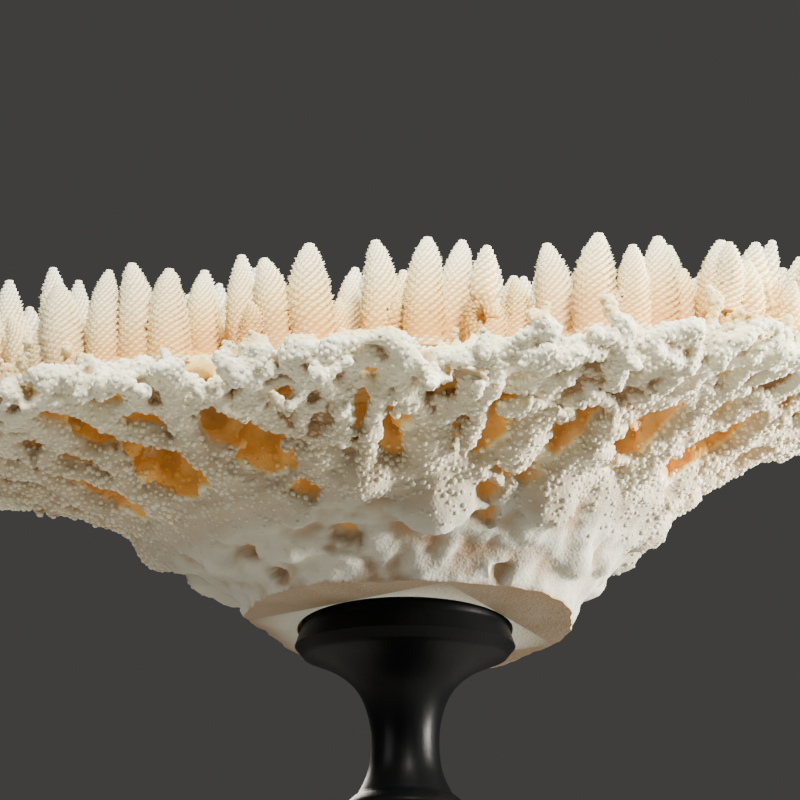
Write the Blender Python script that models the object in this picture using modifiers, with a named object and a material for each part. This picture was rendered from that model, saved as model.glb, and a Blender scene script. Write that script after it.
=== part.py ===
"""Table coral on a turned wooden pedestal.

The colony is a flat-topped table: a solid foot that was sawn off, nine main limbs that fork out of it
to the rim, and a crowd of short upright branchlets on top. It stands on a black turned pedestal.
Metres, +Z up, origin at the middle of the pedestal's underside. The front is -Y.
"""

import math
import random

import bmesh
import bpy
from mathutils import Vector

# Pedestal: one turned piece, as (radius, height) from the edge of its seat down to the floor
PEDESTAL_HEIGHT = 0.160
HEAD_RADIUS = 0.0325
NECK_RADIUS = 0.0100
BEAD_RADIUS = 0.0174
BASE_RADIUS = 0.0620
TURNING_STEPS = 32
PEDESTAL_PROFILE = [
    (0.0290, PEDESTAL_HEIGHT),
    (0.0304, 0.1580),
    (HEAD_RADIUS, 0.1508),
    (0.0300, 0.1480),
    (0.0205, 0.1436),
    (0.0136, 0.1372),
    (NECK_RADIUS, 0.1270),
    (0.0106, 0.1155),
    (0.0138, 0.1078),
    (BEAD_RADIUS, 0.1045),
    (0.0132, 0.1008),
    (0.0130, 0.0800),
    (0.0150, 0.0580),
    (0.0210, 0.0390),
    (0.0340, 0.0235),
    (0.0560, 0.0140),
    (BASE_RADIUS, 0.0100),
    (BASE_RADIUS, 0.0020),
    (0.0600, 0.0000),
]

# The sawn face of the foot: it rises above the pedestal's head at the front and hangs lower behind
FIT_GAP = 0.0003
CUT_Z = PEDESTAL_HEIGHT + FIT_GAP
CUT_SLOPE = 0.10
CUT_FRONT_Y = -0.042
SEAT_RADIUS = 0.0340

# The table, seen from above. Its heights are measured from CUT_Z, as are all of the coral's
RIM_RADIUS_MEAN = 0.1450
FOOT_RADIUS = 0.0800
FOOT_STEPS = 32
RISE_POWER = 0.78
MIDDLE_FLOOR_HEIGHT = 0.0560
RIM_DEPTH = 0.0100

# Limbs: name and the two azimuths, in degrees, between which each one spreads (-90 is the front)
LIMBS = [
    ("limb_front", -115.5, -75.5),
    ("limb_front_right", -75.5, -47.0),
    ("limb_right_front", -47.0, -5.0),
    ("limb_right", -5.0, 38.0),
    ("limb_back_right", 38.0, 80.0),
    ("limb_back", 80.0, 120.0),
    ("limb_back_left", 120.0, 160.0),
    ("limb_left", 160.0, 202.5),
    ("limb_front_left", 202.5, 244.5),
]
LIMB_GAP = 0.0006
LIMB_START_RADIUS = FOOT_RADIUS + 0.0005
LIMB_RINGS = 4
TIPS_PER_LIMB = 4
TIP_REACH = 0.0050
NOTCH_WIDTH = 0.0035
RIB_SHARE = 0.45

# Branchlets: short upright fingers, closer together at the front rim, where they are placed by hand
BRANCHLET_LENGTH = 0.0340
BRANCHLET_RIM_LOSS = 0.0040
BRANCHLET_RADIUS = 0.0047
BRANCHLET_TIP_SHARE = 0.58
BRANCHLET_SIDES = 5
BRANCHLET_ROOT = 0.0050
ROW_SPACING = 0.0146
RIM_MARGIN = 0.0105
BORDER_MARGIN = 0.0066
JITTER = 0.0016
OUTWARD_LEAN = 0.30
FOOT_ROWS = [(0.0, 1), (0.0150, 6), (0.0300, 12), (0.0440, 17), (0.0580, 22), (0.0715, 27)]
GROWTH_SEED = 11
BLUNT_FROM = 0.1310

# Colours
BLEACHED_CORAL = (0.86, 0.82, 0.76)
BLACK_LACQUER = (0.012, 0.011, 0.010)

# The front branchlets, each as (root x, tip x, y, tip height, radius at the root)
FRONT_BRANCHLETS = [
    (-0.0860, -0.0905, -0.1010, 0.0665, 0.0056),
    (-0.0770, -0.0770, -0.1055, 0.0690, 0.0040),
    (-0.0690, -0.0715, -0.1050, 0.0710, 0.0048),
    (-0.0600, -0.0610, -0.1090, 0.0680, 0.0050),
    (-0.0525, -0.0535, -0.0960, 0.0715, 0.0045),
    (-0.0405, -0.0430, -0.1060, 0.0720, 0.0040),
    (-0.0325, -0.0370, -0.1060, 0.0720, 0.0048),
    (-0.0225, -0.0250, -0.1090, 0.0750, 0.0056),
    (-0.0145, -0.0145, -0.0890, 0.0740, 0.0040),
    (-0.0065, -0.0080, -0.1050, 0.0775, 0.0050),
    (0.0050, 0.0057, -0.1120, 0.0755, 0.0050),
    (0.0110, 0.0150, -0.1010, 0.0790, 0.0046),
    (0.0150, 0.0205, -0.1140, 0.0715, 0.0044),
    (0.0290, 0.0290, -0.0880, 0.0740, 0.0040),
    (0.0395, 0.0370, -0.1000, 0.0785, 0.0052),
    (0.0490, 0.0500, -0.1110, 0.0770, 0.0054),
    (0.0575, 0.0585, -0.1120, 0.0735, 0.0043),
    (0.0650, 0.0665, -0.1000, 0.0805, 0.0052),
    (0.0700, 0.0710, -0.0870, 0.0830, 0.0043),
    (0.0815, 0.0830, -0.1010, 0.0790, 0.0050),
    (0.0925, 0.0945, -0.0880, 0.0835, 0.0052),
]
FRONT_START, FRONT_END = -139.0, -41.0
FRONT_ROWS_DEPTH = 0.0440
CROWDING = 0.0100


def direction(azimuth):
    """The level direction of an azimuth in degrees."""
    return Vector((math.cos(math.radians(azimuth)), math.sin(math.radians(azimuth)), 0))


def rim_radius(azimuth):
    a = math.radians(azimuth)
    oval = 0.0105 * math.cos(2 * a) + 0.0040 * math.sin(a)
    return RIM_RADIUS_MEAN + oval + 0.0025 * math.sin(5 * a + 0.6)


def rim_height(azimuth):
    """Underside at the rim: the right and the back stand higher than the left."""
    a = math.radians(azimuth)
    return 0.0505 + 0.0098 * math.cos(a) + 0.0165 * math.sin(a)


def cut_radius(azimuth):
    """Outline of the sawn face: three blunt corners, and flattened at the left towards the back."""
    a = math.radians(azimuth)
    flat = 0.0045 * max(0.0, math.cos(a - math.radians(167))) ** 8
    return 0.0458 - 0.0030 * math.sin(3 * a) + 0.0014 * math.cos(a) - flat


def cut_height(azimuth):
    """Height of the sawn face at its edge."""
    return CUT_SLOPE * (CUT_FRONT_Y - cut_radius(azimuth) * math.sin(math.radians(azimuth)))


def underside(radius, azimuth):
    inner = cut_radius(azimuth)
    share = min(1.0, max(0.0, (radius - inner) / (rim_radius(azimuth) - inner)))
    edge = cut_height(azimuth)
    return edge + (rim_height(azimuth) - edge) * math.sin(share * math.pi / 2) ** RISE_POWER


def top_of_plate(radius, azimuth):
    """Height of the fused plate, where the branchlets start."""
    share = (radius / rim_radius(azimuth)) ** 2
    return MIDDLE_FLOOR_HEIGHT + (rim_height(azimuth) + RIM_DEPTH - MIDDLE_FLOOR_HEIGHT) * share


def clear_scene():
    for obj in list(bpy.data.objects):
        bpy.data.objects.remove(obj)


def new_collection(name):
    made = bpy.data.collections.new(name)
    bpy.context.scene.collection.children.link(made)
    return made


def mesh_object(name, bm, collection, parent=None):
    mesh = bpy.data.meshes.new(name)
    bm.to_mesh(mesh)
    bm.free()
    obj = bpy.data.objects.new(name, mesh)
    obj.parent = parent
    collection.objects.link(obj)
    return obj


def helper_object(name, bm, collection, parent):
    """An operand of a Boolean: hidden in renders, and a wire frame in the viewport."""
    obj = mesh_object(name, bm, collection, parent)
    obj.hide_render = True
    obj.display_type = "WIRE"
    return obj


def paint(obj, colour, roughness):
    material = bpy.data.materials.new(obj.name)
    material.use_nodes = True
    shader = material.node_tree.nodes["Principled BSDF"]
    shader.inputs["Base Color"].default_value = (*colour, 1.0)
    shader.inputs["Roughness"].default_value = roughness
    obj.data.materials.append(material)


def boolean(obj, other, operation):
    modifier = obj.modifiers.new(operation.lower() + " " + other.name, "BOOLEAN")
    modifier.operation = operation
    modifier.object = other


def make_pedestal(collection):
    """The profile is turned round the Z axis."""
    bm = bmesh.new()
    outline = [(0.0, PEDESTAL_HEIGHT)] + PEDESTAL_PROFILE + [(0.0, 0.0)]
    points = [bm.verts.new((radius, 0, height)) for radius, height in outline]
    for upper, lower in zip(points, points[1:]):
        bm.edges.new((upper, lower))
    obj = mesh_object("pedestal", bm, collection)
    paint(obj, BLACK_LACQUER, 0.35)
    turning = obj.modifiers.new("turning", "SCREW")
    turning.steps = turning.render_steps = TURNING_STEPS
    turning.use_merge_vertices = True
    turning.merge_threshold = 0.00005


def foot_body():
    """The solid foot: rings from the sawn face up the flare, then over the top to the middle."""
    flare = [0.0, 0.35, 0.70]
    crown = [0.97, 0.55]
    bm = bmesh.new()
    loops = []
    for level in range(len(flare) + 2 + len(crown)):
        ring = bmesh.ops.create_circle(bm, segments=FOOT_STEPS, radius=1.0)["verts"]
        for vert in ring:
            azimuth = math.degrees(math.atan2(vert.co.y, vert.co.x))
            radius = FOOT_RADIUS
            if level < len(flare):
                inner = cut_radius(azimuth)
                radius = inner + (FOOT_RADIUS - inner) * flare[level]
            elif level > len(flare) + 1:
                radius = FOOT_RADIUS * crown[level - len(flare) - 2]
            height = underside(radius, azimuth)
            if level > len(flare):
                height = top_of_plate(radius, azimuth) - 0.003 * (level == len(flare) + 1)
            vert.co = direction(azimuth) * radius + Vector((0, 0, height))
        loops.append(list({edge for vert in ring for edge in vert.link_edges}))
    for lower, upper in zip(loops, loops[1:]):
        bmesh.ops.bridge_loops(bm, edges=lower + upper)
    bmesh.ops.holes_fill(bm, edges=[edge for edge in bm.edges if edge.is_boundary])
    bmesh.ops.recalc_face_normals(bm, faces=bm.faces)
    return bm


def seat_cutter(helpers, colony):
    """Frees a level round seat for the pedestal's head in the sloping sawn face."""
    depth = 0.020
    bm = bmesh.new()
    bmesh.ops.create_cone(
        bm,
        cap_ends=True,
        segments=TURNING_STEPS,
        radius1=SEAT_RADIUS,
        radius2=SEAT_RADIUS,
        depth=depth,
    )
    bmesh.ops.translate(bm, verts=bm.verts, vec=(0, 0, -depth / 2))
    return helper_object("seat_cutter", bm, helpers, colony)


def limb_body(start, end):
    """One limb: a grid of its underside, laid out round the table and thickened up to its top.

    Ribs run along it. There is one at the foot, two half way and one for every tip at the rim.
    """
    bm = bmesh.new()
    bmesh.ops.create_grid(bm, x_segments=2 * TIPS_PER_LIMB, y_segments=LIMB_RINGS, size=0.5)
    raised = bmesh.ops.extrude_face_region(bm, geom=bm.faces[:])["geom"]
    upper = {part for part in raised if isinstance(part, bmesh.types.BMVert)}
    for vert in bm.verts:
        across = vert.co.x + 0.5
        outward = vert.co.y + 0.5
        tips = TIPS_PER_LIMB if outward > 0.7 else TIPS_PER_LIMB // 2 if outward > 0.2 else 1
        ridge = abs(math.sin(tips * math.pi * across))
        azimuth = start + (end - start) * across
        radius = LIMB_START_RADIUS + (rim_radius(azimuth) - LIMB_START_RADIUS) * outward
        if outward > 0.99:
            radius += TIP_REACH * (2 * ridge - 1)
        inset = LIMB_GAP / 2 + NOTCH_WIDTH * outward**3
        azimuth += math.degrees(inset / radius) * (1 - 2 * across)
        height = top_of_plate(radius, azimuth)
        if vert not in upper:
            lowest = underside(radius, azimuth)
            height = lowest + (height - lowest) * RIB_SHARE * (1 - ridge)
        vert.co = direction(azimuth) * radius + Vector((0, 0, height))
    bmesh.ops.recalc_face_normals(bm, faces=bm.faces)
    return bm


def add_branchlet(bm, root, tip, radius, blunt):
    """A tapering finger. The blunt ones, near the rim, have a shoulder under the tip."""
    along = tip - root
    turn = along.to_track_quat("Z", "Y").to_matrix().to_4x4()
    turn.translation = root + along / 2
    finger = bmesh.ops.create_cone(
        bm,
        cap_ends=True,
        segments=BRANCHLET_SIDES,
        radius1=radius,
        radius2=radius * BRANCHLET_TIP_SHARE,
        depth=along.length,
        matrix=turn,
    )["verts"]
    if blunt:
        top = max(finger[-1].link_faces, key=lambda face: face.calc_center_median().z)
        bmesh.ops.inset_region(bm, faces=[top], thickness=radius * 0.3, depth=radius * 0.35)


def grown_rows(start, end, rng):
    """Roots and tips of one limb's branchlets, in rows that follow the rim."""
    middle = (start + end) / 2
    innermost = FOOT_RADIUS + BRANCHLET_RADIUS + 2 * JITTER
    depth = RIM_MARGIN
    while rim_radius(middle) - depth > innermost:
        radius = rim_radius(middle) - depth
        margin = math.degrees(BORDER_MARGIN / radius)
        width = math.radians(end - start - 2 * margin) * radius
        count = max(2, round(width / ROW_SPACING) + 1)
        for i in range(count):
            azimuth = start + margin + (end - start - 2 * margin) * i / (count - 1)
            yield grown(azimuth, max(innermost, rim_radius(azimuth) - depth), rng)
        depth += ROW_SPACING


def grown(azimuth, radius, rng):
    """One branchlet of the crowd as (root, tip, radius), or None where the front ones stand."""
    radius += rng.uniform(-JITTER, JITTER)
    thickness = BRANCHLET_RADIUS * rng.uniform(0.85, 1.05)
    growth = rng.uniform(0.92, 1.05)
    share = radius / rim_radius(azimuth)
    length = (BRANCHLET_LENGTH - BRANCHLET_RIM_LOSS * share**4) * growth
    root = direction(azimuth) * radius + Vector((0, 0, top_of_plate(radius, azimuth)))
    lean = direction(azimuth) * OUTWARD_LEAN * share**3
    tip = root + (Vector((0, 0, 1)) + lean).normalized() * length
    at_front = FRONT_START < azimuth < FRONT_END or FRONT_START + 360 < azimuth
    if at_front and rim_radius(azimuth) - radius < FRONT_ROWS_DEPTH:
        return None
    return root, tip, thickness


def front_rows(start, end):
    """The branchlets placed by hand that stand on this limb."""
    for root_x, tip_x, y, tip_height, radius in FRONT_BRANCHLETS:
        azimuth = math.degrees(math.atan2(y, root_x))
        if start < azimuth < end or start < azimuth + 360 < end:
            distance = math.hypot(root_x, y)
            root = Vector((root_x, y, top_of_plate(distance, azimuth)))
            yield root, Vector((tip_x, y, tip_height)), radius


def branchlet_helper(name, branchlets, helpers, colony):
    bm = bmesh.new()
    for root, tip, radius in branchlets:
        deeper = root - (tip - root).normalized() * BRANCHLET_ROOT
        add_branchlet(bm, deeper, tip, radius, blunt=root.xy.length > BLUNT_FROM)
    return helper_object(name + "_branchlets", bm, helpers, colony)


def make_limbs(collection, helpers, colony):
    rng = random.Random(GROWTH_SEED)
    for name, start, end in LIMBS:
        crowd = [one for one in grown_rows(start, end, rng) if one]
        front = list(front_rows(start, end))
        crowd = [
            one
            for one in crowd
            if all((one[0].xy - other[0].xy).length > CROWDING for other in front)
        ]
        limb = mesh_object(name, limb_body(start, end), collection, colony)
        paint(limb, BLEACHED_CORAL, 0.85)
        boolean(limb, branchlet_helper(name, crowd + front, helpers, colony), "UNION")


def make_foot(collection, helpers, colony):
    rng = random.Random(GROWTH_SEED + 1)
    tuft = []
    for radius, count in FOOT_ROWS:
        offset = rng.uniform(0, 360)
        tuft += [grown(offset + 360 * i / count - 180, radius, rng) for i in range(count)]
    foot = mesh_object("coral_foot", foot_body(), collection, colony)
    paint(foot, BLEACHED_CORAL, 0.85)
    boolean(foot, seat_cutter(helpers, colony), "DIFFERENCE")
    boolean(foot, branchlet_helper("coral_foot", tuft, helpers, colony), "UNION")


def main():
    clear_scene()
    collection = new_collection("table_coral_on_pedestal")
    helpers = new_collection("helpers")
    make_pedestal(collection)
    colony = bpy.data.objects.new("colony", None)
    colony.location.z = CUT_Z
    collection.objects.link(colony)
    make_foot(collection, helpers, colony)
    make_limbs(collection, helpers, colony)


main()
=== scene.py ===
"""Looks of a bleached table coral on a black turned pedestal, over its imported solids. Metres, +Z up."""

import math
import random

import bmesh
import bpy
import numpy as np
from mathutils import Matrix, Vector, geometry, kdtree, noise


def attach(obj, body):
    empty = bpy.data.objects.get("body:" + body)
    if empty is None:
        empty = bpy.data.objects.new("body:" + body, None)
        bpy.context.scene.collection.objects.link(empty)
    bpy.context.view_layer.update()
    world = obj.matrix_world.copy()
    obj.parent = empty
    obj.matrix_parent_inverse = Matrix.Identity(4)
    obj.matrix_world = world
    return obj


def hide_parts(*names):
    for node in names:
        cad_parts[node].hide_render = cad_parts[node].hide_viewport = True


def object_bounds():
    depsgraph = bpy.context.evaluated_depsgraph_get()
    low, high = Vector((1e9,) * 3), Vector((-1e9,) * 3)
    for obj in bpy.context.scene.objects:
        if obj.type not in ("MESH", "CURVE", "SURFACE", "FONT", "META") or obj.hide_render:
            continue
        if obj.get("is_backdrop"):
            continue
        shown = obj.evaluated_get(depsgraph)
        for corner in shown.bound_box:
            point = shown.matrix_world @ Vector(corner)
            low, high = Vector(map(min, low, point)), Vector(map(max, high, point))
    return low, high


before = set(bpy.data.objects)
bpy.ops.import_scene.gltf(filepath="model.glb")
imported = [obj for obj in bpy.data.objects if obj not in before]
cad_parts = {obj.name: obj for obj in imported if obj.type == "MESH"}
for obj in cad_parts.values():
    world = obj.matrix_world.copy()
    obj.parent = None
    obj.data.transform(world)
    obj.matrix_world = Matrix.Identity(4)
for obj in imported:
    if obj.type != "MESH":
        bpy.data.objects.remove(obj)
solid_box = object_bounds()
assembled = bpy.context.scene.collection


# The pedestal is one piece of close-grained hardwood, turned on a lathe and sprayed with black satin
# lacquer, which fills most of the grain. Its head carries the coral. Its outline is (radius, height) in
# millimetres. Only tables that pass through metres() are in millimetres, the rest is in metres.
PEDESTAL_OUTLINE = [
    (0, 160), (28.8, 160), (30.4, 158.6), (30.6, 156.2), (32.5, 150.8), (30, 147.8), (20.5, 143.6),
    (13.6, 137.2), (10.2, 127), (10.6, 115.5), (13.8, 107.8), (14.6, 107.4), (17.3, 104.5),
    (14.6, 101.6), (13.2, 100.8), (12.8, 80), (15, 58), (21.2, 39), (34, 24), (53, 15.2), (60, 13.2),
    (61.9, 10), (61.9, 2.2), (59.8, 0), (0, 0),
]
PEDESTAL_CORNERS = {0, 1, 3, 4, 5, 10, 11, 13, 14, 19, 20, 21, 22, 23, 24}
LATHE_STEPS = 96
CURVE_STEPS = 6
PEDESTAL_CREASE = 38


class Shade:
    """A shader socket that Python arithmetic works on: an expression adds its Math nodes."""

    def __init__(self, tree, socket=None):
        self.tree = tree
        self.socket = socket

    def node(self, kind, settings=None, sockets=None, output=0):
        """Adds a node. Its settings come first, then its sockets by name or number."""
        made = self.tree.nodes.new("ShaderNode" + kind)
        for name, value in (settings or {}).items():
            if name == "stops":
                ramp = made.color_ramp.elements
                while len(ramp) < len(value):
                    ramp.new(0.5)
                for stop, (position, colour) in zip(ramp, value):
                    stop.position = position
                    stop.color = (*colour, 1.0)
            else:
                setattr(made, name, value)
        for name, value in (sockets or {}).items():
            if isinstance(value, Shade):
                self.tree.links.new(value.socket, made.inputs[name])
            else:
                made.inputs[name].default_value = value
        return Shade(self.tree, made.outputs[output])

    def math(self, operation, first, second=0.0):
        return self.node("Math", {"operation": operation}, {0: first, 1: second})

    def __add__(self, other):
        return self.math("ADD", self, other)

    def __sub__(self, other):
        return self.math("SUBTRACT", self, other)

    def __rsub__(self, other):
        return self.math("SUBTRACT", other, self)

    def __mul__(self, other):
        return self.math("MULTIPLY", self, other)

    __radd__ = __add__

    def band(self, low, high):
        """0 below low, 1 above high and a soft step between."""
        sockets = {0: self, 1: low, 2: high}
        return self.node("MapRange", {"interpolation_type": "SMOOTHSTEP"}, sockets)

    def mix(self, first, second):
        """Colours mixed by this mask."""
        return self.node("Mix", {"data_type": "RGBA"}, {0: self, 6: first, 7: second}, 2)

    def bump(self, distance, strength=1.0, normal=None):
        sockets = {"Height": self, "Distance": distance, "Strength": strength}
        if normal:
            sockets["Normal"] = normal
        return self.node("Bump", {}, sockets)


def metres(row):
    return [value / 1000 for value in row]


def finish(name):
    """A new material: a socket wrapper to build with, and its Principled shader."""
    material = bpy.data.materials.new(name)
    material.use_nodes = True
    tree = material.node_tree
    return material, Shade(tree), tree.nodes["Principled BSDF"]


def connect(shade, shader, name):
    shade.tree.links.new(shade.socket, shader.inputs[name])


def solid_piece(name, bm, material, smooth=True):
    mesh = bpy.data.meshes.new(name)
    bm.to_mesh(mesh)
    bm.free()
    mesh.materials.append(material)
    piece = bpy.data.objects.new(name, mesh)
    assembled.objects.link(piece)
    if smooth:
        mesh.shade_smooth()
    return piece


lacquer, shade, shader = finish("black satin lacquer")
place = shade.node("TexCoord", output=3)
around = shade.node("Mapping", sockets={"Vector": place, "Scale": (1.0, 1.0, 0.06)})
grain = shade.node("TexNoise", sockets={"Vector": around, "Scale": 900.0, "Detail": 4.0})
cloud = shade.node("TexNoise", sockets={"Vector": place, "Scale": 45.0, "Detail": 3.0})
peel = shade.node("TexNoise", sockets={"Vector": place, "Scale": 420.0, "Detail": 2.0})
worn = cloud.band(0.60, 0.80) * grain.band(0.45, 0.60)
connect((worn * 0.5).mix((0.0022, 0.0024, 0.0028, 1), (0.008, 0.007, 0.006, 1)), shader, "Base Color")
connect(0.27 + cloud * 0.12 + grain * 0.06, shader, "Roughness")
connect(peel.bump(0.00006, 0.5, grain.bump(0.00008, 0.6)), shader, "Normal")
shader.inputs["Specular IOR Level"].default_value = 0.065

lathe = bmesh.new()
outline = [Vector((radius, 0, height)) for radius, height in map(metres, PEDESTAL_OUTLINE)]
turned = [outline[0]]
for i, (start, end) in enumerate(zip(outline, outline[1:])):
    before = start if i in PEDESTAL_CORNERS else outline[i - 1]
    after = end if i + 1 in PEDESTAL_CORNERS else outline[i + 2]
    leave = start + (end - before) / 6
    arrive = end - (after - start) / 6
    turned += geometry.interpolate_bezier(start, leave, arrive, end, CURVE_STEPS)[1:]
points = [lathe.verts.new(point) for point in turned]
for upper, lower in zip(points, points[1:]):
    lathe.edges.new((upper, lower))
bmesh.ops.spin(
    lathe,
    geom=lathe.verts[:] + lathe.edges[:],
    cent=(0, 0, 0),
    axis=(0, 0, 1),
    angle=math.tau,
    steps=LATHE_STEPS,
    use_merge=True,
)
bmesh.ops.remove_doubles(lathe, verts=lathe.verts, dist=0.00002)
bmesh.ops.recalc_face_normals(lathe, faces=lathe.faces)
pedestal = solid_piece("turned_pedestal", lathe, lacquer)
pedestal.data.set_sharp_from_angle(angle=math.radians(PEDESTAL_CREASE))
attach(pedestal, "root")
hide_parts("pedestal")


# The colony is the bare skeleton of a table coral: white chalky lime, grey where it is in shade, and
# warm where light from above comes through its thin walls into the hollows. It grew outward from the
# foot and upward. These are the rules of its shape, seen from above, in degrees from +X.
CUT_Z = 0.1603
CUT_SLOPE = 0.10
CUT_FRONT_Y = -0.042
FOOT_RADIUS = 0.08
MIDDLE_FLOOR_HEIGHT = 0.056
RIM_DEPTH = 0.01
LIMBS = [
    ("limb_front", -115.5, -75.5),
    ("limb_front_right", -75.5, -47.0),
    ("limb_right_front", -47.0, -5.0),
    ("limb_right", -5.0, 38.0),
    ("limb_back_right", 38.0, 80.0),
    ("limb_back", 80.0, 120.0),
    ("limb_back_left", 120.0, 160.0),
    ("limb_left", 160.0, 202.5),
    ("limb_front_left", 202.5, 244.5),
]
UP = Vector((0, 0, 1))
WHITE = (0.88, 0.87, 0.73)
CREAM = (0.85, 0.79, 0.51)
GLOW_PEACH = (0.78, 0.60, 0.25)
GLOW_ORANGE = (0.63, 0.31, 0.065)
HOLLOW_SHADE_TAN = (0.40, 0.20, 0.05)
SHADE_BROWN = (0.26, 0.165, 0.09)
OLD_GREY_AND_SHADE = (0.36, 0.35, 0.30)
GLOW_HEIGHT = 0.032
LEAST_TINT = 0.17


def rim_radius(azimuth):
    a = np.radians(azimuth)
    oval = 0.0105 * np.cos(2 * a) + 0.004 * np.sin(a)
    return 0.145 + oval + 0.0025 * np.sin(5 * a + 0.6)


def rim_height(azimuth):
    a = np.radians(azimuth)
    return 0.0505 + 0.0098 * np.cos(a) + 0.0165 * np.sin(a)


def cut_radius(azimuth):
    a = np.radians(azimuth)
    flat = 0.0045 * np.maximum(0.0, np.cos(a - math.radians(167))) ** 8
    return 0.0458 - 0.003 * np.sin(3 * a) + 0.0014 * np.cos(a) - flat


def cut_height(azimuth):
    return CUT_SLOPE * (CUT_FRONT_Y - cut_radius(azimuth) * np.sin(np.radians(azimuth)))


def underside(radius, azimuth):
    inner = cut_radius(azimuth)
    share = np.clip((radius - inner) / (rim_radius(azimuth) - inner), 0, 1)
    edge = cut_height(azimuth)
    return edge + (rim_height(azimuth) - edge) * np.sin(share * math.pi / 2) ** 0.78


def top_of_plate(radius, azimuth):
    share = (radius / rim_radius(azimuth)) ** 2
    return MIDDLE_FLOOR_HEIGHT + (rim_height(azimuth) + RIM_DEPTH - MIDDLE_FLOOR_HEIGHT) * share


def azimuth_of(x, y):
    return math.degrees(math.atan2(y, x))


def in_sector(azimuth, start, end):
    return start < azimuth < end or start < azimuth + 360 < end


def spot(radius, azimuth, height):
    """A point of the colony, its height measured from the top of the pedestal."""
    a = math.radians(azimuth)
    return Vector((radius * math.cos(a), radius * math.sin(a), CUT_Z + height))


def coordinates(mesh, name="co"):
    """The mesh's vertex positions, or its normals, as three rows of numbers."""
    found = np.empty(len(mesh.vertices) * 3, np.float32)
    mesh.vertices.foreach_get(name, found)
    return found.reshape(-1, 3).T


def polar(mesh):
    """Each vertex's distance from the axis, its azimuth and its height over the pedestal."""
    x, y, z = coordinates(mesh)
    return np.hypot(x, y), np.degrees(np.arctan2(y, x)), z - CUT_Z


def store(mesh, name, numbers):
    attribute = mesh.attributes.get(name) or mesh.attributes.new(name, "FLOAT", "POINT")
    attribute.data.foreach_set("value", np.asarray(numbers, np.float32))


def store_tint_and_glow(mesh, from_height=0.0044, within=0.0024):
    """Stores how deep each point lies inside the colony, which colours it from white to orange: a faint
    cream tint all over, and painted glow where light from above comes through the thin walls into the
    hollows and round the branchlets' bases.
    """
    radius, azimuth, height = polar(mesh)
    top = top_of_plate(radius, azimuth)
    bottom = underside(radius, azimuth)
    over_floor = (height - top) / GLOW_HEIGHT
    low = np.clip((height - bottom - from_height) / within, 0, 1)
    rim = np.clip((rim_radius(azimuth) - 0.001 - radius) / 0.011, 0, 1)
    deep = np.clip((top - height) / (top - bottom), 0, 1)
    # Painted glow: orange deepens into the hollows under the plate and peach rises at the branchlets'
    # bases; the least value is the skin's own cream tint.
    warmth = np.maximum(np.minimum(low, rim) * (0.52 + 0.60 * deep), LEAST_TINT)
    grown = 0.96 * np.clip(1.0 - over_floor, 0, 1) ** 1.05
    warmth = np.where(over_floor > 0, grown * (0.60 + 0.40 * rim), warmth)
    store(mesh, "warmth", warmth)
    return warmth


def sunken(mesh, rounds, reach):
    """How far each point lies below the level of the skin around it, from 0 to 1 at that reach."""
    ends = np.empty(len(mesh.edges) * 2, np.int64)
    mesh.edges.foreach_get("vertices", ends)
    one, other = ends.reshape(-1, 2).T
    count = len(mesh.vertices)
    neighbours = np.bincount(one, minlength=count) + np.bincount(other, minlength=count)
    neighbours = np.maximum(1, neighbours)
    level = places = coordinates(mesh).astype(float)
    for _ in range(rounds):
        level = np.array([
            (np.bincount(one, row[other], count) + np.bincount(other, row[one], count)) / neighbours
            for row in level
        ])
    return np.clip(((level - places) * coordinates(mesh, "normal")).sum(0) / reach, 0, 1)


skeleton, shade, shader = finish("bleached coral")
place = shade.node("TexCoord", output=3)
warmth, groove, sunk, crevice, worn = [
    shade.node("Attribute", {"attribute_name": name}, output=2)
    for name in ("warmth", "groove", "sunk", "crevice", "worn")
]
mottle = shade.node("TexNoise", sockets={"Vector": place, "Scale": 95.0, "Detail": 4.0})
patch = shade.node("TexNoise", sockets={"Vector": place, "Scale": 26.0, "Detail": 3.0})
speck = shade.node("TexNoise", sockets={"Vector": place, "Scale": 800.0, "Detail": 3.0})
pores = shade.node("TexVoronoi", sockets={"Vector": place, "Scale": 1100.0})
# Painted shade: the grooves between the cups, crevices, the skin under the table and the sawn face are
# darkened towards brown, and towards orange-brown inside the glowing hollows.
groove_shade_mask = groove.band(0.35, 0.85)
tone = warmth + groove_shade_mask * 0.22 + (mottle - 0.5) * 0.18
# The ramp runs from the lime's own white and cream to painted glow in peach and orange.
stops = [(0.05, WHITE), (0.34, CREAM), (0.62, GLOW_PEACH), (0.92, GLOW_ORANGE)]
chalk_and_glow = shade.node("ValToRGB", {"stops": stops}, {"Fac": tone})
dust_and_shade = (patch.band(0.42, 0.66) * 0.30).mix(chalk_and_glow, (0.64, 0.60, 0.49, 1))
# The foot's worn grey is partly the old skeleton's own grey and partly painted shade on its down-facing
# underside.
dust_and_shade = (worn * (0.55 + patch * 0.5)).mix(dust_and_shade, (*OLD_GREY_AND_SHADE, 1))
shade_amount = shade.math("MAXIMUM", sunk + crevice, groove_shade_mask * 0.9) * (1.0 - warmth * 0.3)
shade_amount = shade_amount * (0.60 + mottle * 0.6)
shaded_chalk = shade_amount.mix(dust_and_shade, warmth.mix((*SHADE_BROWN, 1), (*HOLLOW_SHADE_TAN, 1)))
connect((speck.band(0.60, 0.72) * 0.25).mix(shaded_chalk, (0.36, 0.29, 0.21, 1)), shader, "Base Color")
connect(0.72 + mottle * 0.22, shader, "Roughness")
connect(pores.bump(0.00022, 0.55, speck.bump(0.00025, 0.6)), shader, "Normal")
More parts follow.
